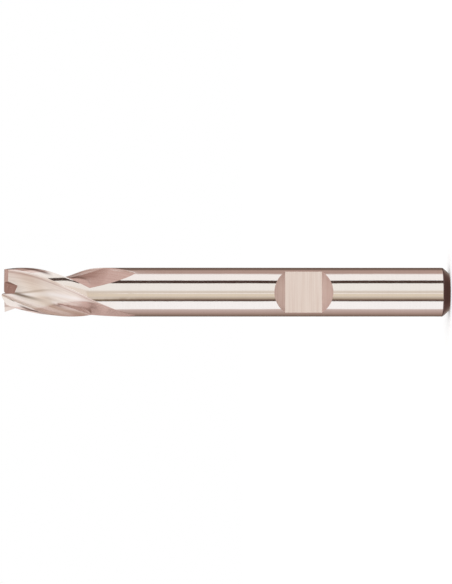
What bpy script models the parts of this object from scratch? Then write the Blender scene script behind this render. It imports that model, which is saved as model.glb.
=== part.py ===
"""A slot drill: a short three-tooth end mill that can plunge, ground from one bar of high-speed steel.

The tool stands on its shank end. The frame's origin is the middle of that end, +Z runs along the axis
to the teeth, and the clamping flat faces -Y. Sections are drawn square to the axis in the frame of one
tooth: +X runs out to its cutting edge, and angles grow the way the tool turns, so the flute that
carries its chips lies ahead of the edge, up to the heel of the next tooth.
"""

import math

import bmesh
import bpy
from mathutils import Matrix, Vector

MM = 0.001

# Bar
OVERALL_LENGTH = 54.8 * MM
DIAMETER = 6.0 * MM                       # shank and cutter are ground to the same size
CHAMFER_LENGTH = 0.85 * MM                # on the shank end, along the axis
CHAMFER_DEPTH = 0.75 * MM                 # and across it
EDGE_BREAK = 0.10 * MM                    # softened corner between shank and chamfer

# Clamping flat
FLAT_POSITION = 17.95 * MM                # its middle, from the shank end
FLAT_LENGTH = 4.5 * MM                    # of the flat floor, along the axis
FLAT_DEPTH = 1.34 * MM                    # from the shank's surface to the floor
FLAT_WALL_ANGLE = math.radians(45.0)      # each end wall leans out by this much

# Teeth and flutes
TOOTH_COUNT = 3
FIRST_TOOTH_ANGLE = math.radians(-96.0)   # where its edge meets the tip, from +X
HELIX_ANGLE = math.radians(27.0)          # right-hand
FLUTE_LENGTH = 10.75 * MM                 # full-length cutting edge
RUN_OUT_LENGTH = 5.55 * MM                # beyond it, where the wheel leaves the shank in a slanting plane
WHEEL_LIFT_END = 9.5 * MM                 # depth at which the flute's back has risen to its chord
WHEEL_LIFT_LEAD = 4.0 * MM                # it rises over this length
RUN_OUT_FULLNESS = 0.8                    # 1 narrows the run-out evenly, less keeps it wide for longer
FLOOR_SWEEP = 1.5 * MM                    # the floor's turn into the run-out is spread over this much
SWEEP_START = 0.5                         # share of the flute's width over which the turn softens
SWEEP_SAMPLES = 6
FLUTE_DEPTH = 1.25 * MM                   # from the diameter to the root of the rake face
ROOT_LEAD = math.radians(10.0)            # the root lies this far ahead of the edge
RAKE_ANGLE = math.radians(8.0)            # hook of the rake face at the edge
ROOT_HEADING = math.radians(142.0)        # direction of the section as it leaves the root
BACK_HEADING = math.radians(118.0)        # and as it reaches the next tooth's heel
HEEL_FACET_WIDTH = 0.28 * MM              # second clearance, behind the relieved land
HEEL_FACET_ANGLE = math.radians(35.0)

# Lands
LAND_WIDTH_AT_TIP = 1.10 * MM
LAND_WIDTH_AT_RUN_OUT = 1.25 * MM
RELIEF_ANGLE = math.radians(10.5)         # fall of the land behind the edge
RELIEF_FADE = 3.25 * MM                   # the relief fades out over this last length of the edge

# End teeth
DISH_ANGLE = math.radians(1.5)            # the end edges fall this much towards the middle
END_LAND_WIDTH = 0.35 * MM                # narrow first relief behind each end edge
END_LAND_ANGLE = math.radians(12.0)
END_RELIEF_ANGLE = math.radians(28.0)     # steeper second relief behind that land
END_EDGE_OFFSET = -0.09 * MM              # short teeth stop behind the axis
LONG_EDGE_OFFSET = 0.04 * MM              # one tooth reaches across it, so that the tool can plunge
LONG_TOOTH = 1
GASH_NECK = 1.265 * MM                    # where the gash meets the next tooth's end edge
GASH_FLOOR_NEAR = Vector((1.70, 0.04, -1.56)) * MM   # end of the floor below the end rake wall
GASH_FLOOR_FAR = Vector((1.34, 0.90, -2.04)) * MM    # end of the floor below the far wall
GASH_FAR_BRINK = Vector((0.94, 1.42, -0.78)) * MM    # brink of the far wall, on the flute's back
GRIND_PAST_EDGE = math.radians(12.0)      # the reliefs are ground this far past their own edge
GRIND_SHORT_OF_NEXT = math.radians(30.0)  # and stop this far short of the edge behind them

# Mesh
LAND_COLUMNS = 14
ROOT_COLUMNS = 9
BACK_COLUMNS = 7
FLUTE_STATIONS = 24
RUN_OUT_STATIONS = 18
LEAST_FACING = 0.1                        # below it the run-out's plane is far from the section
SMOOTH_ANGLE = math.radians(24.0)

# Worked out from the sizes above
RADIUS = DIAMETER / 2
PITCH = 2 * math.pi / TOOTH_COUNT
TWIST_RATE = math.tan(HELIX_ANGLE) / RADIUS
RUN_OUT_END = FLUTE_LENGTH + RUN_OUT_LENGTH
BLOCK_SIZE = 2 * (OVERALL_LENGTH + DIAMETER)   # cutters are trimmed from blocks that outreach the tool


def clear_scene():
    for item in list(bpy.data.objects):
        bpy.data.objects.remove(item, do_unlink=True)


def polar(radius, angle):
    return Vector((radius * math.cos(angle), radius * math.sin(angle)))


def turned(point, angle):
    return Matrix.Rotation(angle, 2) @ point


def smooth_step(value):
    value = min(max(value, 0.0), 1.0)
    return value * value * (3 - 2 * value)


def bezier(start, start_heading, end, end_heading, count, start_pull=0.35, end_pull=0.35):
    """Points of a smooth curve after its start, up to and including its end."""
    reach = (end - start).length
    first = start + polar(reach * start_pull, start_heading)
    second = end - polar(reach * end_pull, end_heading)
    points = []
    for step in range(1, count + 1):
        t = step / count
        points.append(start * (1 - t) ** 3 + first * 3 * t * (1 - t) ** 2
                      + second * 3 * t * t * (1 - t) + end * t ** 3)
    return points


def land_angle(depth):
    share = min(max(depth, 0.0) / FLUTE_LENGTH, 1.0)
    width = LAND_WIDTH_AT_TIP + (LAND_WIDTH_AT_RUN_OUT - LAND_WIDTH_AT_TIP) * share
    return width / RADIUS


def relief_share(depth):
    """1 where the land is fully relieved, 0 where it has merged into the shank."""
    return smooth_step((FLUTE_LENGTH - depth) / RELIEF_FADE)


def land_radius(depth, behind):
    """Radius of the land at an angle behind its cutting edge."""
    fall = RADIUS * max(behind, 0.0) * math.tan(RELIEF_ANGLE)
    return RADIUS - fall * relief_share(depth)


def run_out_lead(depth):
    """How far ahead of the helix the near border of the flute lies: 0 along the cutting edge."""
    share = min(max((depth - FLUTE_LENGTH) / RUN_OUT_LENGTH, 0.0), 1.0)
    full_width = PITCH - land_angle(depth)
    return full_width * (1 - (1 - share) ** RUN_OUT_FULLNESS)


def floor_lead(depth, along):
    """The same lead inside the flute, where the floor turns into the run-out in a smooth sweep."""
    reach = min(FLOOR_SWEEP, RUN_OUT_END - depth)
    samples = [run_out_lead(depth + reach * step / SWEEP_SAMPLES)
               for step in range(-SWEEP_SAMPLES, SWEEP_SAMPLES + 1)]
    swept = sum(samples) / len(samples)
    share = min(along / SWEEP_START, 1.0)
    return run_out_lead(depth) * (1 - share) + swept * share


def wheel_depth_share(depth):
    """1 where the flute has its full section, falling to 0 where its back has risen to the chord."""
    return smooth_step((WHEEL_LIFT_END - depth) / WHEEL_LIFT_LEAD)


def facet_height(depth, point, outward):
    """How far out from a point lies the plane in which the wheel leaves the bar.

    The plane meets the surface at the end of the cutting edge and, one run-out farther, at the heel line.
    """
    to_end = RUN_OUT_END - depth
    width = PITCH - land_angle(RUN_OUT_END)
    slope = RADIUS * (1 - math.cos(width - TWIST_RATE * RUN_OUT_LENGTH)) / RUN_OUT_LENGTH
    facing = polar(1.0, width - TWIST_RATE * to_end)
    return (RADIUS - slope * to_end - facing.dot(point)) / max(facing.dot(outward), LEAST_FACING)


def full_flute_section(depth):
    """The flute's section from the cutting edge to the next heel, both of them included."""
    edge = Vector((RADIUS, 0.0))
    root = polar(RADIUS - FLUTE_DEPTH, ROOT_LEAD)
    heel_angle = PITCH - land_angle(depth)
    heel = polar(land_radius(depth, land_angle(depth)), heel_angle)
    facet_foot = heel + polar(HEEL_FACET_WIDTH, heel_angle - math.pi / 2 - HEEL_FACET_ANGLE)
    rake = bezier(edge, math.pi + RAKE_ANGLE, root, ROOT_HEADING, ROOT_COLUMNS, start_pull=0.55)
    back = bezier(root, ROOT_HEADING, facet_foot, BACK_HEADING, BACK_COLUMNS)
    return [edge] + rake + back + [heel]


def flute_section(depth):
    """The full section, narrowed and raised towards its chord and the facet where the wheel lifts out."""
    section = full_flute_section(depth)
    edge, heel = section[0], section[-1]
    chord = heel - edge
    outward = Vector((chord.y, -chord.x)).normalized()
    points = []
    for point in section:
        along = (point - edge).dot(chord) / chord.length_squared
        near = polar(RADIUS, floor_lead(depth, along))
        new_chord = heel - near
        new_outward = Vector((new_chord.y, -new_chord.x)).normalized()
        full_height = (point - edge).dot(outward)
        risen_height = full_height * wheel_depth_share(depth)
        facet = facet_height(depth, near + new_chord * along, new_outward)
        height = max(min(full_height, risen_height), min(risen_height, facet))
        points.append(near + new_chord * along + new_outward * height)
    return points


def land_section(depth):
    """The land from its heel to the cutting edge, or to the near border of the run-out."""
    start = -land_angle(depth)
    end = run_out_lead(depth)
    points = []
    for step in range(LAND_COLUMNS + 1):
        angle = start + (end - start) * step / LAND_COLUMNS
        points.append(polar(land_radius(depth, -angle), angle))
    return points


def fluted_ring(depth):
    """One whole section of the cutter at a depth below the tip."""
    twist = FIRST_TOOTH_ANGLE - TWIST_RATE * depth
    sector = land_section(depth) + flute_section(depth)[1:-1]
    height = OVERALL_LENGTH - depth
    ring = []
    for tooth in range(TOOTH_COUNT):
        for point in sector:
            place = turned(point, twist + tooth * PITCH)
            ring.append(Vector((place.x, place.y, height)))
    return ring


def shank_ring(height, radius):
    """A round section with the same columns as the end of the run-out."""
    ring = fluted_ring(RUN_OUT_END)
    scale = radius / RADIUS
    return [Vector((point.x * scale, point.y * scale, height)) for point in ring]


def depths():
    """Section depths to the end of the run-out, the first one half a station past the tip."""
    station = FLUTE_LENGTH / (FLUTE_STATIONS - 0.5)
    places = [station * (step - 0.5) for step in range(FLUTE_STATIONS)]
    for step in range(RUN_OUT_STATIONS + 1):
        places.append(FLUTE_LENGTH + RUN_OUT_LENGTH * step / RUN_OUT_STATIONS)
    return places


def new_object(name, mesh_data, material=None):
    mesh = bpy.data.meshes.new(name)
    mesh_data.to_mesh(mesh)
    mesh_data.free()
    item = bpy.data.objects.new(name, mesh)
    bpy.context.scene.collection.objects.link(item)
    if material:
        mesh.materials.append(material)
    return item


def make_blank(material):
    """The fluted bar, lofted through its sections, before the end teeth and the flat are ground."""
    rings = [fluted_ring(depth) for depth in depths()]
    rings.append(shank_ring(CHAMFER_LENGTH + EDGE_BREAK, RADIUS))
    rings.append(shank_ring(CHAMFER_LENGTH - EDGE_BREAK, RADIUS - EDGE_BREAK))
    rings.append(shank_ring(0.0, RADIUS - CHAMFER_DEPTH))
    bm = bmesh.new()
    loft = [[bm.verts.new(point) for point in ring] for ring in rings]
    for upper, lower in zip(loft, loft[1:]):
        for column in range(len(upper)):
            following = (column + 1) % len(upper)
            bm.faces.new((upper[column], lower[column], lower[following], upper[following]))
    bm.faces.new(loft[0])
    bm.faces.new(reversed(loft[-1]))
    bmesh.ops.remove_doubles(bm, verts=bm.verts, dist=0.001 * MM)
    bmesh.ops.recalc_face_normals(bm, faces=bm.faces)
    return new_object("slot_drill", bm, material)


def cut_block(name, walls, placement):
    """A cutter: a block trimmed by walls, each a point and the direction that leads out of the cutter."""
    bm = bmesh.new()
    bmesh.ops.create_cube(bm, size=BLOCK_SIZE)
    for point, outward in walls:
        parts = bm.verts[:] + bm.edges[:] + bm.faces[:]
        cut = bmesh.ops.bisect_plane(bm, geom=parts, plane_co=point, plane_no=outward, clear_outer=True)
        rim = [part for part in cut["geom_cut"] if isinstance(part, bmesh.types.BMEdge)]
        bmesh.ops.edgeloop_fill(bm, edges=rim)
    bmesh.ops.recalc_face_normals(bm, faces=bm.faces)
    bm.transform(placement)
    return as_cutter(new_object(name, bm))


def as_cutter(item):
    item.hide_render = True
    item.display_type = 'WIRE'
    return item


def plane_through(first, second, third, side):
    """A wall through three points, whose outward direction is on the given side."""
    outward = (second - first).cross(third - first).normalized()
    if outward.dot(side) < 0:
        outward = -outward
    return first, outward


def tooth_placement(tooth):
    """Puts a cutter drawn in a tooth's own frame on the tip."""
    turn = Matrix.Rotation(FIRST_TOOTH_ANGLE + tooth * PITCH, 4, 'Z')
    return Matrix.Translation((0.0, 0.0, OVERALL_LENGTH)) @ turn


def end_edge_point(radius):
    """A point of the end cutting edge, which is dished towards the middle."""
    return Vector((radius, 0.0, -(RADIUS - radius) * math.tan(DISH_ANGLE)))


def relief_cutter(name, tooth, start, angle):
    """Grinds one relief that falls away from a line parallel to an end edge, as far as the gash behind."""
    corner = end_edge_point(RADIUS) + start
    fall = corner + Vector((0.0, -math.cos(angle), -math.sin(angle))) * RADIUS
    floor = plane_through(corner, end_edge_point(0.0) + start, fall, Vector((0.0, 0.0, -1.0)))
    axis = Vector((0.0, 0.0, 0.0))
    past = GRIND_PAST_EDGE
    behind = PITCH - GRIND_SHORT_OF_NEXT
    front = axis, Vector((-math.sin(past), math.cos(past), 0.0))
    rear = axis, Vector((-math.sin(behind), -math.cos(behind), 0.0))
    return cut_block("%s_%d" % (name, tooth), [floor, front, rear], tooth_placement(tooth))


def relief_cutters(tooth):
    """The narrow land at the end edge, and the steeper relief behind it."""
    brink = Vector((0.0, -END_LAND_WIDTH, -END_LAND_WIDTH * math.tan(END_LAND_ANGLE)))
    return [relief_cutter("end_land", tooth, Vector((0.0, 0.0, 0.0)), END_LAND_ANGLE),
            relief_cutter("end_relief", tooth, brink, END_RELIEF_ANGLE)]


def gash_cutter(tooth):
    """Grinds the notch ahead of one end edge, which lets chips from the middle out into the flute."""
    offset = LONG_EDGE_OFFSET if tooth == LONG_TOOTH else END_EDGE_OFFSET
    heart = end_edge_point(0.0) + Vector((0.0, END_EDGE_OFFSET, 0.0))
    neck = Matrix.Rotation(PITCH, 3, 'Z') @ end_edge_point(GASH_NECK)
    down = Vector((0.0, 0.0, -1.0))
    rake_wall = (Vector((0.0, offset, 0.0)),
                 Vector((max(offset, 0.0) - offset, FLUTE_DEPTH - RADIUS, 0.0)))
    near_floor = plane_through(heart, GASH_FLOOR_NEAR, GASH_FLOOR_FAR, down)
    far_floor = plane_through(heart, neck, GASH_FLOOR_FAR, down)
    far_wall = plane_through(neck, GASH_FAR_BRINK, GASH_FLOOR_FAR, Vector((0.0, 1.0, 0.0)))
    walls = [rake_wall, near_floor, far_floor, far_wall]
    return cut_block("end_gash_%d" % tooth, walls, tooth_placement(tooth))


def flat_cutter():
    """Mills the clamping flat: a level floor with an end wall leaning out on each side."""
    floor = Vector((0.0, -(RADIUS - FLAT_DEPTH), FLAT_POSITION))
    lean = Vector((0.0, math.sin(FLAT_WALL_ANGLE), math.cos(FLAT_WALL_ANGLE)))
    upper = floor + Vector((0.0, 0.0, FLAT_LENGTH / 2))
    lower = floor - Vector((0.0, 0.0, FLAT_LENGTH / 2))
    walls = [(floor, Vector((0.0, 1.0, 0.0))), (upper, lean), (lower, Vector((0.0, lean.y, -lean.z)))]
    return cut_block("flat_grinding", walls, Matrix.Identity(4))


def subtract(item, cutters):
    """Takes all the cutters away in one step, so that no cut works on the rounded corners of another."""
    grinding = bpy.data.collections.new("grinding")
    bpy.context.scene.collection.children.link(grinding)
    for cutter in cutters:
        bpy.context.scene.collection.objects.unlink(cutter)
        grinding.objects.link(cutter)
    modifier = item.modifiers.new("grinding", 'BOOLEAN')
    modifier.operation = 'DIFFERENCE'
    modifier.solver = 'EXACT'
    modifier.operand_type = 'COLLECTION'
    modifier.collection = grinding


def make_steel():
    material = bpy.data.materials.new("ground_steel")
    material.use_nodes = True
    shader = material.node_tree.nodes["Principled BSDF"]
    shader.inputs["Base Color"].default_value = (0.62, 0.54, 0.48, 1.0)
    shader.inputs["Metallic"].default_value = 1.0
    shader.inputs["Roughness"].default_value = 0.28
    return material


def main():
    clear_scene()
    drill = make_blank(make_steel())
    cutters = [flat_cutter()]
    for tooth in range(TOOTH_COUNT):
        cutters += relief_cutters(tooth)
        cutters.append(gash_cutter(tooth))
    subtract(drill, cutters)
    drill.data.shade_smooth()
    drill.data.set_sharp_from_angle(angle=SMOOTH_ANGLE)


main()
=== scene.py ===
"""The looks of a slot drill: the ground steel bar in full detail, its finishes, and a small studio.

Depths are measured from the tip towards the shank. A section is drawn square to the axis in the frame
of one tooth: +X runs out to its cutting edge, and angles grow the way the tool turns.
"""

import math

import bmesh
import bpy
from mathutils import Matrix, Vector


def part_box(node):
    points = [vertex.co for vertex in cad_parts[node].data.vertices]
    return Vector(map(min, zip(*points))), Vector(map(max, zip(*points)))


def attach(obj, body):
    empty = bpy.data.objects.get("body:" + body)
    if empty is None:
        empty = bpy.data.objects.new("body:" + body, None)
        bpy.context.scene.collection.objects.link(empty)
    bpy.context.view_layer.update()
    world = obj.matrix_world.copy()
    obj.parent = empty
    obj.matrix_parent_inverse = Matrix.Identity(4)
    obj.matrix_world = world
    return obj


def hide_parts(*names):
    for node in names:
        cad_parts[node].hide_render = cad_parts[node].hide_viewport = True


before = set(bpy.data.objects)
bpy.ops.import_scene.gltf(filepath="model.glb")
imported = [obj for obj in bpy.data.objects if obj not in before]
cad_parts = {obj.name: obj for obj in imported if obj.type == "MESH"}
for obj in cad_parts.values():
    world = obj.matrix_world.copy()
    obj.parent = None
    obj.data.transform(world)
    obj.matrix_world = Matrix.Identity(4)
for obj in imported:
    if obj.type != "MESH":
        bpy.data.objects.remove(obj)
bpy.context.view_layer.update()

MM = 0.001
LOWEST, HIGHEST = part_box("slot_drill")
LENGTH = HIGHEST.z - LOWEST.z
RADIUS = (HIGHEST.x - LOWEST.x) / 2

# Shank
CHAMFER_LENGTH = 0.85 * MM                # along the axis
CHAMFER_DEPTH = 0.75 * MM                 # and across it
RIM_ROUNDING = 0.10 * MM                  # softened corner between shank and chamfer
END_ROUNDING = 0.05 * MM                  # and between chamfer and end face
FLAT_POSITION = 17.95 * MM                # its middle, from the shank end
FLAT_LENGTH = 4.5 * MM                    # of the flat floor, along the axis
FLAT_DEPTH = 1.34 * MM                    # from the shank's surface to the floor
FLAT_WALL_ANGLE = math.radians(45.0)      # each end wall leans out by this much

# Teeth and flutes
TOOTH_COUNT = 3
FIRST_TOOTH_ANGLE = math.radians(-96.0)   # where its edge meets the tip, from +X
HELIX_ANGLE = math.radians(27.0)          # right-hand
FLUTE_LENGTH = 10.75 * MM                 # full-length cutting edge
RUN_OUT_LENGTH = 5.55 * MM                # beyond it, where the wheel leaves in a slanting plane
WHEEL_LIFT_END = 9.5 * MM                 # depth at which the flute's back has risen to its chord
WHEEL_LIFT_LEAD = 4.0 * MM                # it rises over this length
RUN_OUT_FULLNESS = 0.8                    # 1 narrows the run-out evenly, less keeps it wide for longer
FLOOR_SWEEP = 1.5 * MM                    # the floor's turn into the run-out is spread over this much
SWEEP_START = 0.5                         # share of the flute's width over which the turn softens
SWEEP_SAMPLES = 6
FLUTE_DEPTH = 1.25 * MM                   # from the diameter to the root of the rake face
ROOT_LEAD = math.radians(10.0)            # the root lies this far ahead of the edge
RAKE_ANGLE = math.radians(8.0)            # hook of the rake face at the edge
ROOT_HEADING = math.radians(142.0)        # direction of the section as it leaves the root
BACK_HEADING = math.radians(118.0)        # and as it reaches the next tooth's heel
HEEL_FACET_WIDTH = 0.28 * MM              # second clearance, behind the relieved land
HEEL_FACET_ANGLE = math.radians(35.0)

# Lands
LAND_WIDTH_AT_TIP = 1.10 * MM
LAND_WIDTH_AT_RUN_OUT = 1.25 * MM
MARGIN_WIDTH = 0.12 * MM                  # cylindrical strip at the edge, before the relief begins
RELIEF_ANGLE = math.radians(10.5)         # mean fall over the whole land
RELIEF_FADE = 3.25 * MM                   # the relief fades out over this last length of the edge

# End teeth
DISH_ANGLE = math.radians(1.5)            # the end edges fall this much towards the middle
END_LAND_WIDTH = 0.35 * MM                # narrow first relief behind each end edge
END_LAND_ANGLE = math.radians(12.0)
END_RELIEF_ANGLE = math.radians(28.0)     # steeper second relief behind that land
END_EDGE_OFFSET = -0.09 * MM              # short teeth stop behind the axis
LONG_EDGE_OFFSET = 0.04 * MM              # one tooth reaches across it
LONG_TOOTH = 1
GASH_NECK = 1.265 * MM                    # where the gash meets the next tooth's end edge
GASH_FLOOR_NEAR = Vector((1.70, 0.04, -1.56)) * MM   # end of the floor below the end rake wall
GASH_FLOOR_FAR = Vector((1.34, 0.90, -2.04)) * MM    # end of the floor below the far wall
GASH_FAR_BRINK = Vector((0.94, 1.42, -0.78)) * MM    # brink of the far wall, on the flute's back
GRIND_PAST_EDGE = math.radians(12.0)      # the reliefs are ground this far past their own edge
GRIND_SHORT_OF_NEXT = math.radians(30.0)  # and stop this far short of the edge behind them

# Fineness of the mesh
LAND_COLUMNS = 40
ROOT_COLUMNS = 26
BACK_COLUMNS = 20
FLUTE_STATIONS = 110
RUN_OUT_STATIONS = 64
SHANK_STATIONS = 10
ROUNDING_STEPS = 5
MERGE_DISTANCE = 0.0005 * MM
LEAST_FACING = 0.1                        # below it the run-out's plane is far from the section
SMOOTH_ANGLE = math.radians(22.0)

# Numbers of the finishes, kept on the faces until the nodes give each its material
LAND, FLUTE, SHANK, CHAMFER, END_FACE = range(5)

# Bands of painted highlight and shade along the lanes: distance from the heel at the teeth, how that
# changes with depth, half the width, the depths at which the band begins, is full, begins to fade and is
# gone, two colours.
BEFORE_TIP = -1.0 * MM
ALL_ALONG = (BEFORE_TIP, 0.0, 11.0 * MM, 13.0 * MM)
# A painted highlight along the heel's edge
HEEL_PAINTED_HIGHLIGHT = (0.0, 0.0, 0.20 * MM, ALL_ALONG, (0.97, 0.90, 0.88), (1.0, 0.96, 0.95))
HEEL_SHADOW = (0.40 * MM, 0.0, 0.18 * MM, ALL_ALONG, (0.68, 0.57, 0.53), (0.80, 0.70, 0.66))
# A broad painted highlight that crosses the flute
FLUTE_PAINTED_HIGHLIGHT = (3.54 * MM, -0.25, 0.52 * MM, (BEFORE_TIP, 0.0, 9.0 * MM, 12.0 * MM),
                 (0.95, 0.90, 0.89), (1.0, 0.98, 0.98))
# A band of painted shade beside that highlight
FLUTE_PAINTED_SHADE = (3.64 * MM, -0.37, 0.24 * MM, (BEFORE_TIP, 0.0, 3.0 * MM, 8.5 * MM),
               (0.58, 0.49, 0.43), (0.72, 0.63, 0.57))
# Painted shade along the flute's root, the crease between rake face and back
ROOT_PAINTED_SHADE = (3.10 * MM, 0.0, 0.32 * MM, (BEFORE_TIP, 0.0, 2.4 * MM, 6.0 * MM),
             (0.26, 0.20, 0.15), (0.38, 0.30, 0.24))
# A dark band of painted shade on the land, along the tool's outline
LAND_OUTLINE_PAINTED_SHADE = (5.04 * MM, 0.0, 0.40 * MM, (1.7 * MM, 2.9 * MM, 5.0 * MM, 6.4 * MM),
             (0.15, 0.105, 0.09), (0.24, 0.175, 0.155))
FLUTE_PAINTED_BANDS = (HEEL_PAINTED_HIGHLIGHT, HEEL_SHADOW, FLUTE_PAINTED_HIGHLIGHT, FLUTE_PAINTED_SHADE, ROOT_PAINTED_SHADE)
RUN_OUT_SMOOTH_AND_PAINTED_DARK_AT_HEEL = 12.85 * MM          # depth at which the run-out's smoother finish, painted darker as reflection, begins by the heel
RUN_OUT_SMOOTH_AND_PAINTED_DARK_LEAD = 1.93                         # and by how much sooner, for its distance from the heel
FINISH_BLEND = 0.8 * MM                   # the flute's satin turns into the run-out's smoother finish and painted darker reflection over this
NOISE_LOW, NOISE_HIGH = 0.3, 0.7          # what noise mostly keeps within

# Camera, as far away and as turned as the photograph's
CAMERA_DISTANCE = 330 * MM
CAMERA_HEIGHT = 27.44 * MM
CAMERA_SIDE = 0.02 * MM
CAMERA_LENS = 165.5                       # millimetres, as the sensor's width is
SENSOR_WIDTH = 36.0
NEAREST_SEEN = 10 * MM

# Studio
CARD_DISTANCE = 0.5
CARD_STEP = math.radians(3.0)
DISC_CORNERS = 96
DARK_REACH = 0.30                         # radius of the darker card under the tool's base
FLOOR_SIZE = 8.0
FLOOR_SHADE = (0.8, 0.8, 0.8, 1.0)
FLOOR_ROUGHNESS = 0.9
FLOOR_LIFT = 0.25                         # light of its own that the floor shows to the camera
EVEN_LIGHT = 0.95                         # the world's strength where only its light is seen
LAMP_PLACE = (0.25, -0.5, 1.0)
LAMP_SIZE = 0.8
LAMP_ENERGY = 2.0

PITCH = 2 * math.pi / TOOTH_COUNT
TWIST_RATE = math.tan(HELIX_ANGLE) / RADIUS
RUN_OUT_END = FLUTE_LENGTH + RUN_OUT_LENGTH
BLOCK_SIZE = 2 * (LENGTH + RADIUS)        # cutters are trimmed from blocks that outreach the tool


# Sections of the fluted bar

def polar(radius, angle):
    return Vector((radius * math.cos(angle), radius * math.sin(angle)))


def smooth_step(value):
    value = min(max(value, 0.0), 1.0)
    return value * value * (3 - 2 * value)


def bezier(start, start_heading, end, end_heading, count, start_pull=0.35, end_pull=0.35):
    """Points of a smooth curve after its start, up to and including its end."""
    reach = (end - start).length
    first = start + polar(reach * start_pull, start_heading)
    second = end - polar(reach * end_pull, end_heading)
    points = []
    for step in range(1, count + 1):
        t = step / count
        points.append(start * (1 - t) ** 3 + first * 3 * t * (1 - t) ** 2
                      + second * 3 * t * t * (1 - t) + end * t ** 3)
    return points


def land_angle(depth):
    share = min(max(depth, 0.0) / FLUTE_LENGTH, 1.0)
    width = LAND_WIDTH_AT_TIP + (LAND_WIDTH_AT_RUN_OUT - LAND_WIDTH_AT_TIP) * share
    return width / RADIUS


def land_radius(depth, behind):
    """Radius of the land at an angle behind its cutting edge: a round margin, then the relief."""
    relief_share = smooth_step((FLUTE_LENGTH - depth) / RELIEF_FADE)
    width = RADIUS * land_angle(depth)
    whole_fall = width * math.tan(RELIEF_ANGLE) * relief_share
    past_margin = max(RADIUS * behind - MARGIN_WIDTH, 0.0) / (width - MARGIN_WIDTH)
    return RADIUS - whole_fall * past_margin


def run_out_lead(depth):
    """How far ahead of the helix the near border of the flute lies: 0 along the cutting edge."""
    share = min(max((depth - FLUTE_LENGTH) / RUN_OUT_LENGTH, 0.0), 1.0)
    full_width = PITCH - land_angle(depth)
    return full_width * (1 - (1 - share) ** RUN_OUT_FULLNESS)


def floor_lead(depth, along):
    """The same lead inside the flute, where the floor turns into the run-out in a smooth sweep."""
    reach = min(FLOOR_SWEEP, RUN_OUT_END - depth)
    samples = [run_out_lead(depth + reach * step / SWEEP_SAMPLES)
               for step in range(-SWEEP_SAMPLES, SWEEP_SAMPLES + 1)]
    swept = sum(samples) / len(samples)
    share = min(along / SWEEP_START, 1.0)
    return run_out_lead(depth) * (1 - share) + swept * share


def wheel_depth_share(depth):
    """1 where the flute has its full section, falling to 0 where its back has risen to the chord."""
    return smooth_step((WHEEL_LIFT_END - depth) / WHEEL_LIFT_LEAD)


def facet_height(depth, point, outward):
    """How far out from a point lies the plane in which the wheel leaves the bar.

    The plane meets the surface at the end of the cutting edge and, one run-out farther, at the heel line.
    """
    to_end = RUN_OUT_END - depth
    width = PITCH - land_angle(RUN_OUT_END)
    slope = RADIUS * (1 - math.cos(width - TWIST_RATE * RUN_OUT_LENGTH)) / RUN_OUT_LENGTH
    facing = polar(1.0, width - TWIST_RATE * to_end)
    return (RADIUS - slope * to_end - facing.dot(point)) / max(facing.dot(outward), LEAST_FACING)


def full_flute_section(depth):
    """The flute's section from the cutting edge to the next heel, both of them included."""
    edge = Vector((RADIUS, 0.0))
    root = polar(RADIUS - FLUTE_DEPTH, ROOT_LEAD)
    heel_angle = PITCH - land_angle(depth)
    heel = polar(land_radius(depth, land_angle(depth)), heel_angle)
    facet_foot = heel + polar(HEEL_FACET_WIDTH, heel_angle - math.pi / 2 - HEEL_FACET_ANGLE)
    rake = bezier(edge, math.pi + RAKE_ANGLE, root, ROOT_HEADING, ROOT_COLUMNS, start_pull=0.55)
    back = bezier(root, ROOT_HEADING, facet_foot, BACK_HEADING, BACK_COLUMNS)
    return [edge] + rake + back + [heel]


def flute_section(depth):
    """The full section, narrowed and raised towards its chord and the facet where the wheel lifts out."""
    section = full_flute_section(depth)
    edge, heel = section[0], section[-1]
    chord = heel - edge
    outward = Vector((chord.y, -chord.x)).normalized()
    points = []
    for point in section:
        along = (point - edge).dot(chord) / chord.length_squared
        near = polar(RADIUS, floor_lead(depth, along))
        new_chord = heel - near
        new_outward = Vector((new_chord.y, -new_chord.x)).normalized()
        full_height = (point - edge).dot(outward)
        risen_height = full_height * wheel_depth_share(depth)
        facet = facet_height(depth, near + new_chord * along, new_outward)
        height = max(min(full_height, risen_height), min(risen_height, facet))
        points.append(near + new_chord * along + new_outward * height)
    return points


def land_section(depth):
    """The land from its heel to the cutting edge, or to the near border of the run-out."""
    start = -land_angle(depth)
    end = run_out_lead(depth)
    points = []
    for step in range(LAND_COLUMNS + 1):
        angle = start + (end - start) * step / LAND_COLUMNS
        points.append(polar(land_radius(depth, -angle), angle))
    return points


# The bar, made of one straight tooth that nodes repeat and wind

def bar_rows():
    """Depth, radius as a share of the shank's, and finish below it, for each row of a tooth's strip."""
    station = FLUTE_LENGTH / (FLUTE_STATIONS - 0.5)
    rows = [(station * (step - 0.5), 1.0, FLUTE) for step in range(FLUTE_STATIONS)]
    for step in range(RUN_OUT_STATIONS):
        rows.append((FLUTE_LENGTH + RUN_OUT_LENGTH * step / RUN_OUT_STATIONS, 1.0, FLUTE))
    shank_end = LENGTH - CHAMFER_LENGTH - RIM_ROUNDING
    for step in range(SHANK_STATIONS):
        rows.append((RUN_OUT_END + (shank_end - RUN_OUT_END) * step / SHANK_STATIONS, 1.0, SHANK))
    rows.append((shank_end - RIM_ROUNDING, 1.0, SHANK))
    rim = Vector((RADIUS, LENGTH - CHAMFER_LENGTH))
    foot = Vector((RADIUS - CHAMFER_DEPTH, LENGTH))
    centre = Vector((0.0, LENGTH))
    rows += rounded_corner(Vector((RADIUS, shank_end)), rim, foot, RIM_ROUNDING, CHAMFER)
    rows += rounded_corner(rim, foot, centre, END_ROUNDING, END_FACE)
    rows.append((LENGTH, 0.0, END_FACE))
    return rows


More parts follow.
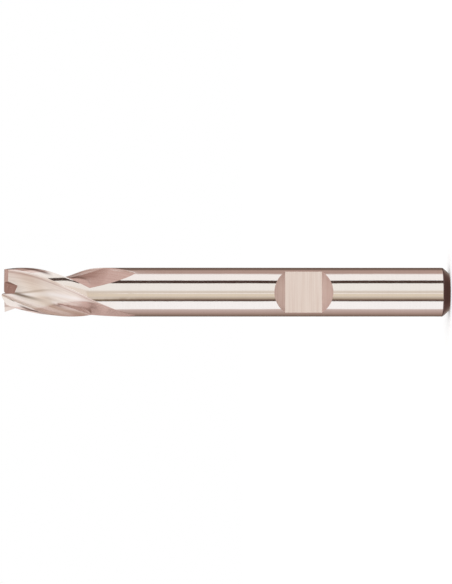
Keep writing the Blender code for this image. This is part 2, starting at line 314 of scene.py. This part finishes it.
def rounded_corner(before, corner, after, rounding, finish):
    """Rows that turn a corner of the outline, drawn as radius and depth, in a small curve."""
    start = corner + (before - corner).normalized() * rounding
    end = corner + (after - corner).normalized() * rounding
    rows = []
    for step in range(ROUNDING_STEPS + 1):
        t = step / ROUNDING_STEPS
        point = start * (1 - t) ** 2 + corner * 2 * t * (1 - t) + end * t ** 2
        rows.append((point.y, point.x / RADIUS, finish))
    return rows


def make_tooth_strip():
    """One tooth's share of the bar as an open strip, not yet wound, with the lanes of its grinding."""
    bm = bmesh.new()
    lanes = bm.loops.layers.uv.new("lanes")
    finish_of = bm.faces.layers.int.new("finish")
    previous = None
    for depth, share, finish in bar_rows():
        section = land_section(depth) + flute_section(depth)[1:]
        row = [bm.verts.new((point.x * share, point.y * share, LENGTH - depth)) for point in section]
        places = lane_places(section)
        if previous:
            above, above_places, above_depth, above_finish = previous
            for column in range(len(row) - 1):
                face = bm.faces.new((above[column], row[column], row[column + 1], above[column + 1]))
                corners = ((above_places[column], above_depth), (places[column], depth),
                           (places[column + 1], depth), (above_places[column + 1], above_depth))
                for loop, corner in zip(face.loops, corners):
                    loop[lanes].uv = (corner[0] / LENGTH, corner[1] / LENGTH)
                face[finish_of] = above_finish
                if column < LAND_COLUMNS and above_finish == FLUTE:
                    face[finish_of] = LAND if depth < FLUTE_LENGTH else SHANK
        previous = (row, places, depth, finish)
    return mesh_object("tooth_strip", bm)


def lane_places(section):
    """How far each point of a section lies from its last one, along the section."""
    places = [0.0]
    for nearer, farther in zip(reversed(section), list(reversed(section))[1:]):
        places.append(places[-1] + (farther - nearer).length)
    return list(reversed(places))


def mesh_object(name, bm):
    mesh = bpy.data.meshes.new(name)
    bm.to_mesh(mesh)
    bm.free()
    item = bpy.data.objects.new(name, mesh)
    bpy.context.scene.collection.objects.link(item)
    return item


def add_node(tree, kind, inputs=None, **settings):
    """A node with its settings, and its inputs given as values or as other nodes' outputs."""
    node = tree.nodes.new(kind)
    for name, value in settings.items():
        setattr(node, name, value)
    for socket, value in (inputs or {}).items():
        if isinstance(value, bpy.types.NodeSocket):
            tree.links.new(value, node.inputs[socket])
        else:
            node.inputs[socket].default_value = value
    return node


def winding_tree(finishes):
    """Nodes that wind one tooth's strip along the helix, repeat it around the axis and finish its faces."""
    tree = bpy.data.node_groups.new("wind_and_repeat_tooth", 'GeometryNodeTree')
    kinds = (("Tooth", 'NodeSocketGeometry'), ("Teeth", 'NodeSocketInt'), ("Tool Length", 'NodeSocketFloat'),
             ("Wound Length", 'NodeSocketFloat'), ("Twist per Metre", 'NodeSocketFloat'),
             ("First Tooth Angle", 'NodeSocketFloat'), ("Merge Distance", 'NodeSocketFloat'))
    for name, kind in kinds:
        tree.interface.new_socket(name, in_out='INPUT', socket_type=kind)
    tree.interface.new_socket("Bar", in_out='OUTPUT', socket_type='NodeSocketGeometry')
    given = tree.nodes.new('NodeGroupInput').outputs

    def math_node(operation, first, second):
        return add_node(tree, 'ShaderNodeMath', {0: first, 1: second}, operation=operation).outputs[0]

    place = tree.nodes.new('GeometryNodeInputPosition').outputs[0]
    height = add_node(tree, 'ShaderNodeSeparateXYZ', {0: place}).outputs['Z']
    depth = math_node('MINIMUM', math_node('SUBTRACT', given["Tool Length"], height), given["Wound Length"])
    turn = math_node('SUBTRACT', given["First Tooth Angle"],
                     math_node('MULTIPLY', depth, given["Twist per Metre"]))
    wound_place = add_node(tree, 'ShaderNodeVectorRotate', {'Vector': place, 'Angle': turn},
                           rotation_type='Z_AXIS').outputs[0]
    wound = add_node(tree, 'GeometryNodeSetPosition', {'Geometry': given["Tooth"], 'Position': wound_place})

    spots = add_node(tree, 'GeometryNodeMeshLine', {'Count': given["Teeth"], 'Offset': (0.0, 0.0, 0.0)})
    index = tree.nodes.new('GeometryNodeInputIndex').outputs[0]
    pitch = math_node('DIVIDE', 2 * math.pi, given["Teeth"])
    euler = add_node(tree, 'ShaderNodeCombineXYZ', {'Z': math_node('MULTIPLY', index, pitch)})
    rotation = add_node(tree, 'FunctionNodeEulerToRotation', {0: euler.outputs[0]})
    copies = add_node(tree, 'GeometryNodeInstanceOnPoints',
                      {'Points': spots.outputs[0], 'Instance': wound.outputs[0],
                       'Rotation': rotation.outputs[0]})
    real = add_node(tree, 'GeometryNodeRealizeInstances', {0: copies.outputs[0]})
    merged = add_node(tree, 'GeometryNodeMergeByDistance',
                      {'Geometry': real.outputs[0], 'Distance': given["Merge Distance"]})

    finish = add_node(tree, 'GeometryNodeInputNamedAttribute', {'Name': "finish"}, data_type='INT')
    chosen = [output for output in finish.outputs if output.enabled][0]
    result = merged.outputs[0]
    for number, material in finishes.items():
        same = tree.nodes.new('FunctionNodeCompare')
        same.data_type = 'INT'
        same.operation = 'EQUAL'
        first, second = [socket for socket in same.inputs if socket.enabled][:2]
        tree.links.new(chosen, first)
        second.default_value = number
        step = add_node(tree, 'GeometryNodeSetMaterial',
                        {'Geometry': result, 'Selection': same.outputs[0], 'Material': material})
        result = step.outputs[0]
    end = tree.nodes.new('NodeGroupOutput')
    tree.links.new(result, end.inputs[0])
    return tree


def evaluated_copy(item, name):
    """A plain mesh object of what the modifiers make of item, which is then removed."""
    seen = item.evaluated_get(bpy.context.evaluated_depsgraph_get())
    mesh = bpy.data.meshes.new_from_object(seen)
    copy = bpy.data.objects.new(name, mesh)
    bpy.context.scene.collection.objects.link(copy)
    bpy.data.objects.remove(item)
    return copy


def make_fluted_bar(finishes):
    """The bar with its flutes, before the end teeth and the flat are ground."""
    strip = make_tooth_strip()
    modifier = strip.modifiers.new("winding", 'NODES')
    modifier.node_group = winding_tree(finishes)
    sizes = {"Teeth": TOOTH_COUNT, "Tool Length": LENGTH, "Wound Length": RUN_OUT_END,
             "Twist per Metre": TWIST_RATE, "First Tooth Angle": FIRST_TOOTH_ANGLE,
             "Merge Distance": MERGE_DISTANCE}
    for socket in modifier.node_group.interface.items_tree:
        if socket.name in sizes:
            modifier[socket.identifier] = sizes[socket.name]
    bar = evaluated_copy(strip, "fluted_bar")
    bm = bmesh.new()
    bm.from_mesh(bar.data)
    bmesh.ops.holes_fill(bm, edges=[edge for edge in bm.edges if edge.is_boundary], sides=0)
    bmesh.ops.recalc_face_normals(bm, faces=bm.faces)
    bm.to_mesh(bar.data)
    bm.free()
    return bar


# Grinding of the end teeth and the clamping flat

def cut_block(name, walls, placement, material):
    """A cutter: a block trimmed by walls, each a point and the direction that leads out of the cutter."""
    bm = bmesh.new()
    bmesh.ops.create_cube(bm, size=BLOCK_SIZE)
    for point, outward in walls:
        parts = bm.verts[:] + bm.edges[:] + bm.faces[:]
        cut = bmesh.ops.bisect_plane(bm, geom=parts, plane_co=point, plane_no=outward, clear_outer=True)
        rim = [part for part in cut["geom_cut"] if isinstance(part, bmesh.types.BMEdge)]
        bmesh.ops.edgeloop_fill(bm, edges=rim)
    bmesh.ops.recalc_face_normals(bm, faces=bm.faces)
    bm.transform(placement)
    block = mesh_object(name, bm)
    block.data.materials.append(material)
    return block


def plane_through(first, second, third, side):
    """A wall through three points, whose outward direction is on the given side."""
    outward = (second - first).cross(third - first).normalized()
    if outward.dot(side) < 0:
        outward = -outward
    return first, outward


def tooth_placement(tooth):
    turn = Matrix.Rotation(FIRST_TOOTH_ANGLE + tooth * PITCH, 4, 'Z')
    return Matrix.Translation((0.0, 0.0, LENGTH)) @ turn


def end_edge_point(radius):
    """A point of the end cutting edge, which is dished towards the middle."""
    return Vector((radius, 0.0, -(RADIUS - radius) * math.tan(DISH_ANGLE)))


def relief_cutter(name, tooth, start, angle, material):
    """Grinds one relief that falls away from a line parallel to an end edge, as far as the gash behind."""
    corner = end_edge_point(RADIUS) + start
    fall = corner + Vector((0.0, -math.cos(angle), -math.sin(angle))) * RADIUS
    floor = plane_through(corner, end_edge_point(0.0) + start, fall, Vector((0.0, 0.0, -1.0)))
    axis = Vector((0.0, 0.0, 0.0))
    past = GRIND_PAST_EDGE
    behind = PITCH - GRIND_SHORT_OF_NEXT
    front = axis, Vector((-math.sin(past), math.cos(past), 0.0))
    rear = axis, Vector((-math.sin(behind), -math.cos(behind), 0.0))
    return cut_block("%s_%d" % (name, tooth), [floor, front, rear], tooth_placement(tooth), material)


def relief_cutters(tooth, material):
    """The narrow land at the end edge, and the steeper relief behind it."""
    brink = Vector((0.0, -END_LAND_WIDTH, -END_LAND_WIDTH * math.tan(END_LAND_ANGLE)))
    return [relief_cutter("end_land", tooth, Vector((0.0, 0.0, 0.0)), END_LAND_ANGLE, material),
            relief_cutter("end_relief", tooth, brink, END_RELIEF_ANGLE, material)]


def gash_cutter(tooth, material):
    """Grinds the notch ahead of one end edge, which lets chips from the middle out into the flute."""
    offset = LONG_EDGE_OFFSET if tooth == LONG_TOOTH else END_EDGE_OFFSET
    heart = end_edge_point(0.0) + Vector((0.0, END_EDGE_OFFSET, 0.0))
    neck = Matrix.Rotation(PITCH, 3, 'Z') @ end_edge_point(GASH_NECK)
    down = Vector((0.0, 0.0, -1.0))
    rake_wall = (Vector((0.0, offset, 0.0)),
                 Vector((max(offset, 0.0) - offset, FLUTE_DEPTH - RADIUS, 0.0)))
    near_floor = plane_through(heart, GASH_FLOOR_NEAR, GASH_FLOOR_FAR, down)
    far_floor = plane_through(heart, neck, GASH_FLOOR_FAR, down)
    far_wall = plane_through(neck, GASH_FAR_BRINK, GASH_FLOOR_FAR, Vector((0.0, 1.0, 0.0)))
    walls = [rake_wall, near_floor, far_floor, far_wall]
    return cut_block("end_gash_%d" % tooth, walls, tooth_placement(tooth), material)


def flat_cutter(material):
    """Mills the clamping flat: a level floor with an end wall leaning out on each side."""
    floor = Vector((0.0, -(RADIUS - FLAT_DEPTH), FLAT_POSITION))
    lean = Vector((0.0, math.sin(FLAT_WALL_ANGLE), math.cos(FLAT_WALL_ANGLE)))
    upper = floor + Vector((0.0, 0.0, FLAT_LENGTH / 2))
    lower = floor - Vector((0.0, 0.0, FLAT_LENGTH / 2))
    walls = [(floor, Vector((0.0, 1.0, 0.0))), (upper, lean), (lower, Vector((0.0, lean.y, -lean.z)))]
    return cut_block("flat_grinding", walls, Matrix.Identity(4), material)


def grind(bar, cutters):
    """Takes all the cutters away from the bar in one step."""
    grinding = bpy.data.collections.new("grinding")
    bpy.context.scene.collection.children.link(grinding)
    for cutter in cutters:
        bpy.context.scene.collection.objects.unlink(cutter)
        grinding.objects.link(cutter)
    modifier = bar.modifiers.new("grinding", 'BOOLEAN')
    modifier.operation = 'DIFFERENCE'
    modifier.solver = 'EXACT'
    modifier.operand_type = 'COLLECTION'
    modifier.collection = grinding
    modifier.material_mode = 'TRANSFER'
    ground = evaluated_copy(bar, "ground_slot_drill")
    for cutter in cutters:
        bpy.data.objects.remove(cutter)
    bpy.data.collections.remove(grinding)
    return ground


# Finishes

def steel_material(name, base, roughness):
    """A bare metal shader; what is the same all over is set on its own sockets."""
    material = bpy.data.materials.new(name)
    material.use_nodes = True
    tree = material.node_tree
    shader = tree.nodes["Principled BSDF"]
    shader.inputs["Base Color"].default_value = (*base, 1.0)
    shader.inputs["Metallic"].default_value = 1.0
    shader.inputs["Roughness"].default_value = roughness
    return material, tree, shader


def stretched_noise(tree, coordinates, scale, detail):
    """Noise drawn out along the axes whose scale is small, as grinding marks are."""
    mapping = add_node(tree, 'ShaderNodeMapping', {'Vector': coordinates, 'Scale': scale})
    noise = add_node(tree, 'ShaderNodeTexNoise',
                     {'Vector': mapping.outputs[0], 'Scale': 1.0, 'Detail': detail})
    return noise.outputs["Fac"]


def shade_between(tree, factor, low, high):
    """A colour that runs from low to high as the noise does."""
    ramp = tree.nodes.new('ShaderNodeValToRGB')
    tree.links.new(factor, ramp.inputs[0])
    ramp.color_ramp.elements[0].position = NOISE_LOW
    ramp.color_ramp.elements[0].color = (*low, 1.0)
    ramp.color_ramp.elements[1].position = NOISE_HIGH
    ramp.color_ramp.elements[1].color = (*high, 1.0)
    return ramp.outputs["Color"]


def mixed(tree, data_type, factor, first, second):
    """A blend of two outputs, from the first to the second as the factor grows."""
    node = tree.nodes.new('ShaderNodeMix')
    node.data_type = data_type
    sockets = [socket for socket in node.inputs if socket.enabled]
    for socket, value in zip(sockets, (factor, first, second)):
        tree.links.new(value, socket)
    return [socket for socket in node.outputs if socket.enabled][0]


def number_between(tree, factor, low, high):
    """A number that runs from low to high as the noise does."""
    node = add_node(tree, 'ShaderNodeMapRange',
                    {'Value': factor, 'From Min': NOISE_LOW, 'From Max': NOISE_HIGH,
                     'To Min': low, 'To Max': high})
    return node.outputs[0]


def add_bump(tree, height, distance, before=None):
    inputs = {'Height': height, 'Strength': 1.0, 'Distance': distance}
    if before:
        inputs['Normal'] = before
    return add_node(tree, 'ShaderNodeBump', inputs).outputs[0]


def share_of_run_out(tree, lanes):
    """0 on the flute's full section, 1 on its flat facet, which starts sooner the farther from the heel:
    there the finish turns smoother and is painted darker as reflection.
    """
    split = add_node(tree, 'ShaderNodeSeparateXYZ', {0: lanes})
    sooner = add_node(tree, 'ShaderNodeMath', {0: split.outputs['X'], 1: RUN_OUT_SMOOTH_AND_PAINTED_DARK_LEAD}, operation='MULTIPLY')
    reached = add_node(tree, 'ShaderNodeMath', {0: split.outputs['Y'], 1: sooner.outputs[0]}, operation='ADD')
    node = add_node(tree, 'ShaderNodeMapRange',
                    {'Value': reached.outputs[0], 'From Min': (RUN_OUT_SMOOTH_AND_PAINTED_DARK_AT_HEEL - FINISH_BLEND) / LENGTH,
                     'From Max': RUN_OUT_SMOOTH_AND_PAINTED_DARK_AT_HEEL / LENGTH}, interpolation_type='SMOOTHSTEP')
    return node.outputs[0]


def share_of_painted_band(tree, lanes, place, drift, half_width, depths):
    """1 along the middle of a painted band, 0 beside it, before the depth where it begins and where it is
    gone.
    """
    split = add_node(tree, 'ShaderNodeSeparateXYZ', {0: lanes})
    drifted = add_node(tree, 'ShaderNodeMath', {0: split.outputs['Y'], 1: drift, 2: place / LENGTH},
                       operation='MULTIPLY_ADD')
    beside = add_node(tree, 'ShaderNodeMath', {0: split.outputs['X'], 1: drifted.outputs[0]},
                      operation='SUBTRACT')
    away = add_node(tree, 'ShaderNodeMath', {0: beside.outputs[0]}, operation='ABSOLUTE')
    across = add_node(tree, 'ShaderNodeMapRange',
                      {'Value': away.outputs[0], 'From Min': 0.0, 'From Max': half_width / LENGTH,
                       'To Min': 1.0, 'To Max': 0.0}, interpolation_type='SMOOTHSTEP')
    share = across
    for start, stop, before, after in ((depths[0], depths[1], 0.0, 1.0), (depths[2], depths[3], 1.0, 0.0)):
        along = add_node(tree, 'ShaderNodeMapRange',
                         {'Value': split.outputs['Y'], 'From Min': start / LENGTH, 'From Max': stop / LENGTH,
                          'To Min': before, 'To Max': after}, interpolation_type='SMOOTHSTEP')
        share = add_node(tree, 'ShaderNodeMath', {0: share.outputs[0], 1: along.outputs[0]},
                         operation='MULTIPLY')
    return share.outputs[0]


def ground_finish(name, coordinate, fine, broad, dull, bright, roughness, bumps, lines=(), run_out=None):
    """Ground steel: fine marks and broader streaks that change its colour, roughness and height.

    Lines are bands of painted highlight and shade, each of a colour of its own. The run-out has its own two
    colours, painted darker as reflection, and its own roughness.
    """
    material, tree, shader = steel_material(name, bright, roughness[0])
    coordinates = tree.nodes.new('ShaderNodeTexCoord').outputs[coordinate]
    marks = stretched_noise(tree, coordinates, fine, detail=4.0)
    streaks = stretched_noise(tree, coordinates, broad, detail=2.0)
    both = add_node(tree, 'ShaderNodeMath', {0: marks, 1: streaks}, operation='ADD').outputs[0]
    mean = add_node(tree, 'ShaderNodeMath', {0: both, 1: 0.5}, operation='MULTIPLY').outputs[0]
    colour = shade_between(tree, mean, dull, bright)
    matt = number_between(tree, streaks, *roughness)
    # Bands of painted highlight and shade, laid over the steel's own colour
    for *where, low, high in lines:
        share = share_of_painted_band(tree, coordinates, *where)
        colour = mixed(tree, 'RGBA', share, colour, shade_between(tree, mean, low, high))
    # The run-out's smoother finish; its darker colours are painted reflection
    if run_out:
        share = share_of_run_out(tree, coordinates)
        colour = mixed(tree, 'RGBA', share, colour, shade_between(tree, mean, run_out[0], run_out[1]))
        matt = mixed(tree, 'FLOAT', share, matt, number_between(tree, streaks, *run_out[2]))
    tree.links.new(colour, shader.inputs["Base Color"])
    tree.links.new(matt, shader.inputs["Roughness"])
    low = add_bump(tree, streaks, bumps[1])
    tree.links.new(add_bump(tree, marks, bumps[0], low), shader.inputs["Normal"])
    return material


def wave_count(length):
    """Noise scale on Object coordinates whose marks are about this long."""
    return 1.0 / length


def lane_count(length):
    """The same on the lanes, which are measured in tool lengths."""
    return LENGTH / length


def make_finishes():
    """One finish for each way in which the bar is ground."""
    around = (wave_count(8 * MM), wave_count(8 * MM))
    finishes = {}
    finishes[SHANK] = ground_finish(
        "shank_ground_round", "Object",
        (*around, wave_count(0.09 * MM)), (wave_count(4 * MM), wave_count(4 * MM), wave_count(3 * MM)),
        (0.77, 0.73, 0.705), (0.81, 0.77, 0.745), (0.06, 0.10), (0.0003 * MM, 0.014 * MM))
    finishes[LAND] = ground_finish(
        "land_ground_along_edge_with_painted_shade", "UV",
        (lane_count(0.07 * MM), lane_count(3 * MM), 1.0), (lane_count(0.5 * MM), lane_count(4 * MM), 1.0),
        (0.76, 0.70, 0.67), (0.82, 0.77, 0.74), (0.08, 0.12), (0.0006 * MM, 0.002 * MM), (LAND_OUTLINE_PAINTED_SHADE,))
    # The flute carries painted bands of highlight and shade, and a run-out painted darker as reflection
    finishes[FLUTE] = ground_finish(
        "flute_ground_along_helix_with_painted_light", "UV",
        (lane_count(0.10 * MM), lane_count(5 * MM), 1.0), (lane_count(0.45 * MM), lane_count(9 * MM), 1.0),
        (0.78, 0.70, 0.65), (1.0, 0.94, 0.90), (0.42, 0.50), (0.0018 * MM, 0.006 * MM), FLUTE_PAINTED_BANDS,
        # run-out: smoother, and painted darker as reflection
        ((0.54, 0.41, 0.37), (0.70, 0.57, 0.53), (0.22, 0.28)))
    # The chamfer's very dark colour is painted shade, standing in for the dark reflection of the floor under
    # the base
    finishes[CHAMFER] = ground_finish(
        "chamfer_turned_painted_dark", "Object",
        (*around, wave_count(0.06 * MM)), (*around, wave_count(0.3 * MM)),
        (0.125, 0.085, 0.08), (0.17, 0.12, 0.115), (0.14, 0.18), (0.0004 * MM, 0.001 * MM))
    finishes[END_FACE] = ground_finish(
        "end_face_turned", "Object",
        (wave_count(0.4 * MM),) * 3, (wave_count(1.5 * MM),) * 3,
        (0.30, 0.22, 0.20), (0.42, 0.33, 0.30), (0.26, 0.36), (0.0006 * MM, 0.001 * MM))
    return finishes


def make_gash_grinding():
    # The gash's darker colour is painted shade in the notch
    return ground_finish(
        "gash_ground_painted_shade", "Object",
        (wave_count(1.2 * MM), wave_count(1.2 * MM), wave_count(0.08 * MM)), (wave_count(0.5 * MM),) * 3,
        (0.52, 0.42, 0.39), (0.64, 0.53, 0.49), (0.20, 0.28), (0.0004 * MM, 0.001 * MM))


def make_end_grinding():
    return ground_finish(
        "end_teeth_ground", "Object",
        (wave_count(0.08 * MM), wave_count(0.08 * MM), wave_count(1.2 * MM)), (wave_count(0.6 * MM),) * 3,
        (0.76, 0.70, 0.67), (0.90, 0.85, 0.83), (0.18, 0.26), (0.0004 * MM, 0.001 * MM))


def make_flat_grinding():
    return ground_finish(
        "clamping_flat_ground_across", "Object",
        (wave_count(6 * MM), wave_count(6 * MM), wave_count(0.10 * MM)),
        (wave_count(9 * MM), wave_count(9 * MM), wave_count(0.35 * MM)),
        (0.80, 0.70, 0.675), (0.95, 0.885, 0.87), (0.30, 0.38), (0.0006 * MM, 0.002 * MM))


# Studio

WHITE = (1.12, 1.09, 1.08)
IVORY = (1.06, 1.04, 1.0)
COOL_WHITE = (1.16, 1.155, 1.17)
TAN = (0.80, 0.71, 0.62)
SAND = (0.88, 0.77, 0.62)
CREAM = (0.97, 0.89, 0.81)
OLIVE = (0.43, 0.34, 0.24)
ROSE = (0.70, 0.56, 0.53)
BLUSH = (0.95, 0.80, 0.76)
ROSE_BROWN = (0.53, 0.375, 0.33)
BROWN = (0.46, 0.33, 0.285)
UMBER = (0.27, 0.19, 0.155)
DARK = (0.085, 0.055, 0.045)
CEILING = (0.56, 0.39, 0.345)

# Bands of cards by the angle from the camera towards +X, each with its start, its end and the colour
# at both. The level bands have dark gaps; above and below them the light is broader.
LEVEL_BANDS = (
    (-180, -140, DARK, UMBER), (-140, -120, UMBER, BROWN), (-120, -90, BROWN, ROSE), (-90, -86, ROSE, WHITE),
    (-86, -44, COOL_WHITE, COOL_WHITE), (-44, -33, DARK, UMBER), (-33, -20, OLIVE, TAN),
    (-20, -10, SAND, SAND), (-10, -4, SAND, WHITE), (-4, 2, TAN, TAN), (2, 10, TAN, IVORY),
    (10, 42, IVORY, IVORY), (42, 57, DARK, DARK), (57, 94, WHITE, WHITE), (94, 100, ROSE, ROSE),
    (100, 126, ROSE_BROWN, ROSE_BROWN), (126, 180, UMBER, DARK))
LOWER_BANDS = (
    (-180, -130, TAN, ROSE_BROWN), (-130, -108, ROSE_BROWN, ROSE), (-108, -40, WHITE, WHITE),
    (-40, -20, WHITE, TAN), (-20, 10, TAN, TAN), (10, 45, IVORY, IVORY), (45, 95, WHITE, WHITE),
    (95, 130, ROSE, ROSE_BROWN), (130, 180, ROSE_BROWN, TAN))
UPPER_BANDS = (
    (-180, -130, CEILING, CEILING), (-130, -120, CEILING, ROSE), (-120, -40, WHITE, IVORY),
    (-40, 10, TAN, TAN), (10, 95, IVORY, WHITE), (95, 130, ROSE, CEILING), (130, 180, CEILING, CEILING))
SIDE_BANDS = (
    (-180, -140, UMBER, UMBER), (-140, -120, UMBER, BROWN), (-120, -90, BROWN, ROSE),
    (-90, -44, WHITE, WHITE), (-44, -33, DARK, OLIVE), (-33, -20, TAN, TAN), (-20, 2, SAND, TAN),
    (2, 10, TAN, IVORY), (10, 42, IVORY, IVORY), (42, 57, DARK, DARK), (57, 106, WHITE, WHITE),
    (106, 126, WHITE, ROSE_BROWN), (126, 180, UMBER, DARK))
RAISED_BANDS = (
    (-180, -160, UMBER, BROWN), (-160, -130, BLUSH, BLUSH), (-130, -122, UMBER, UMBER),
    (-122, -104, BLUSH, BLUSH), (-104, -40, WHITE, IVORY), (-40, 10, CREAM, CREAM), (10, 35, IVORY, IVORY),
    (35, 51, DARK, DARK), (51, 92, IVORY, WHITE), (92, 113, BLUSH, BLUSH),
    (113, 149, ROSE_BROWN, ROSE_BROWN), (149, 180, DARK, DARK))
# Tiers of cards around the tool, each with its foot, its top and its bands
CARD_TIERS = ((-0.5, -0.16, LOWER_BANDS), (-0.16, -0.06, SIDE_BANDS), (-0.06, 0.06, LEVEL_BANDS),
              (0.06, 0.10, SIDE_BANDS), (0.10, 0.26, RAISED_BANDS), (0.26, 0.5, UPPER_BANDS))


def card_point(angle, radius, height):
    """A place by the camera, angles growing from there towards +X."""
    return (radius * math.sin(angle), -radius * math.cos(angle), height)


def make_card(name, band, foot, top, material):
    """A curved upright card, coloured from side to side."""
    start, end, first_colour, last_colour = math.radians(band[0]), math.radians(band[1]), band[2], band[3]
    columns = max(2, math.ceil((end - start) / CARD_STEP))
    bm = bmesh.new()
    colour_of = bm.loops.layers.float_color.new("card_colour")
    grid = []
    for column in range(columns + 1):
        share = column / columns
        angle = start + (end - start) * share
        colour = [low + (high - low) * share for low, high in zip(first_colour, last_colour)]
        edge = [bm.verts.new(card_point(angle, CARD_DISTANCE, height)) for height in (foot, top)]
        grid.append((edge, (*colour, 1.0)))
    for (before, first), (after, second) in zip(grid, grid[1:]):
        face = bm.faces.new((before[0], before[1], after[1], after[0]))
        for loop, colour in zip(face.loops, (first, first, second, second)):
            loop[colour_of] = colour
    card = mesh_object(name, bm)
    card.data.materials.append(material)
    return card


def make_disc(name, radius, height, material):
    """A card that lies level above or below the tool."""
    bm = bmesh.new()
    rim = [card_point(2 * math.pi * step / DISC_CORNERS, radius, height) for step in range(DISC_CORNERS)]
    bm.faces.new([bm.verts.new(point) for point in rim])
    disc = mesh_object(name, bm)
    disc.data.materials.append(material)
    return disc


def glow_material(name, colour=None):
    """A card that shines with one colour, or with the colours painted on its corners."""
    material = bpy.data.materials.new(name)
    material.use_nodes = True
    tree = material.node_tree
    tree.nodes.clear()
    glow = tree.nodes.new('ShaderNodeEmission')
    if colour:
        glow.inputs["Color"].default_value = (*colour, 1.0)
    else:
        paint = add_node(tree, 'ShaderNodeVertexColor', layer_name="card_colour")
        tree.links.new(paint.outputs["Color"], glow.inputs["Color"])
    end = tree.nodes.new('ShaderNodeOutputMaterial')
    tree.links.new(glow.outputs[0], end.inputs["Surface"])
    return material


def show_in_reflections_only(item):
    item.visible_camera = False
    item.visible_diffuse = False
    item.visible_shadow = False
    item.visible_transmission = False
    item.visible_volume_scatter = False


def make_cards():
    """The surroundings that the steel mirrors: tiers of cards, closed at their top and foot."""
    painted = glow_material("card_paint")
    cards = []
    for tier, (foot, top, bands) in enumerate(CARD_TIERS):
        for number, band in enumerate(bands):
            cards.append(make_card("card_%d_%02d" % (tier, number), band, foot, top, painted))
    level_glow = glow_material("level_glow", CEILING)
    foot, top = CARD_TIERS[0][0], CARD_TIERS[-1][1]
    cards.append(make_disc("card_overhead", CARD_DISTANCE, top, level_glow))
    cards.append(make_disc("card_underneath", CARD_DISTANCE, foot, level_glow))
    cards.append(make_disc("card_under_base", DARK_REACH, foot + MM, glow_material("base_glow", BROWN)))
    for card in cards:
        show_in_reflections_only(card)
    return cards


def make_floor():
    """A pale floor that keeps the tool's shadow and meets the white background."""
    bm = bmesh.new()
    bmesh.ops.create_grid(bm, x_segments=1, y_segments=1, size=FLOOR_SIZE / 2)
    floor = mesh_object("floor", bm)
    material = bpy.data.materials.new("pale_floor")
    material.use_nodes = True
    tree = material.node_tree
    shader = tree.nodes["Principled BSDF"]
    shader.inputs["Base Color"].default_value = FLOOR_SHADE
    shader.inputs["Roughness"].default_value = FLOOR_ROUGHNESS
    shader.inputs["Specular IOR Level"].default_value = 0.0
    shader.inputs["Emission Color"].default_value = (1.0, 1.0, 1.0, 1.0)
    path = tree.nodes.new('ShaderNodeLightPath')
    seen = add_node(tree, 'ShaderNodeMath',
                    {0: path.outputs["Is Camera Ray"], 1: path.outputs["Is Glossy Ray"]}, operation='MAXIMUM')
    lift = add_node(tree, 'ShaderNodeMath', {0: seen.outputs[0], 1: FLOOR_LIFT}, operation='MULTIPLY')
    tree.links.new(lift.outputs[0], shader.inputs["Emission Strength"])
    floor.data.materials.append(material)
    floor.visible_glossy = False
    return floor


def make_world():
    """White to the camera and to reflections, and a plain even light on everything else."""
    world = bpy.data.worlds.new("studio")
    bpy.context.scene.world = world
    world.use_nodes = True
    tree = world.node_tree
    background = tree.nodes["Background"]
    background.inputs["Color"].default_value = (1.0, 1.0, 1.0, 1.0)
    path = tree.nodes.new('ShaderNodeLightPath')
    seen = add_node(tree, 'ShaderNodeMath',
                    {0: path.outputs["Is Camera Ray"], 1: path.outputs["Is Glossy Ray"]}, operation='MAXIMUM')
    seen_through = add_node(tree, 'ShaderNodeMath',
                            {0: seen.outputs[0], 1: path.outputs["Is Transmission Ray"]}, operation='MAXIMUM')
    strength = add_node(tree, 'ShaderNodeMapRange',
                        {'Value': seen_through.outputs[0], 'To Min': EVEN_LIGHT, 'To Max': 1.0})
    tree.links.new(strength.outputs[0], background.inputs["Strength"])


def make_lamp():
    """One large soft lamp above and in front, which only deepens the shadow on the floor."""
    light = bpy.data.lights.new("soft_lamp", 'AREA')
    light.shape = 'DISK'
    light.size = LAMP_SIZE
    light.energy = LAMP_ENERGY
    lamp = bpy.data.objects.new("soft_lamp", light)
    bpy.context.scene.collection.objects.link(lamp)
    lamp.location = LAMP_PLACE
    lamp.rotation_euler = (-lamp.location).to_track_quat('-Z', 'Y').to_euler()
    lamp.visible_glossy = False
    return lamp


def make_camera():
    """Level with the tool's middle and turned a quarter, so that the tip points left."""
    camera = bpy.data.objects.new("camera", bpy.data.cameras.new("camera"))
    camera.data.lens = CAMERA_LENS
    camera.data.sensor_width = SENSOR_WIDTH
    camera.data.clip_start = NEAREST_SEEN
    right, up, back = Vector((0.0, 0.0, -1.0)), Vector((1.0, 0.0, 0.0)), Vector((0.0, -1.0, 0.0))
    pose = Matrix((right, up, back)).transposed().to_4x4()
    pose.translation = Vector((CAMERA_SIDE, -CAMERA_DISTANCE, CAMERA_HEIGHT))
    camera.matrix_world = pose
    bpy.context.scene.collection.objects.link(camera)
    bpy.context.scene.camera = camera


def make_tool():
    finishes = make_finishes()
    end_grinding, gash_grinding = make_end_grinding(), make_gash_grinding()
    bar = make_fluted_bar(finishes)
    cutters = [flat_cutter(make_flat_grinding())]
    for tooth in range(TOOTH_COUNT):
        cutters += relief_cutters(tooth, end_grinding)
        cutters.append(gash_cutter(tooth, gash_grinding))
    tool = grind(bar, cutters)
    tool.data.shade_smooth()
    tool.data.set_sharp_from_angle(angle=SMOOTH_ANGLE)
    return tool


bpy.context.scene.view_settings.view_transform = 'Standard'
tool = make_tool()
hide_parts("slot_drill")
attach(tool, "root")
make_floor()
make_cards()
make_lamp()
make_world()
make_camera()
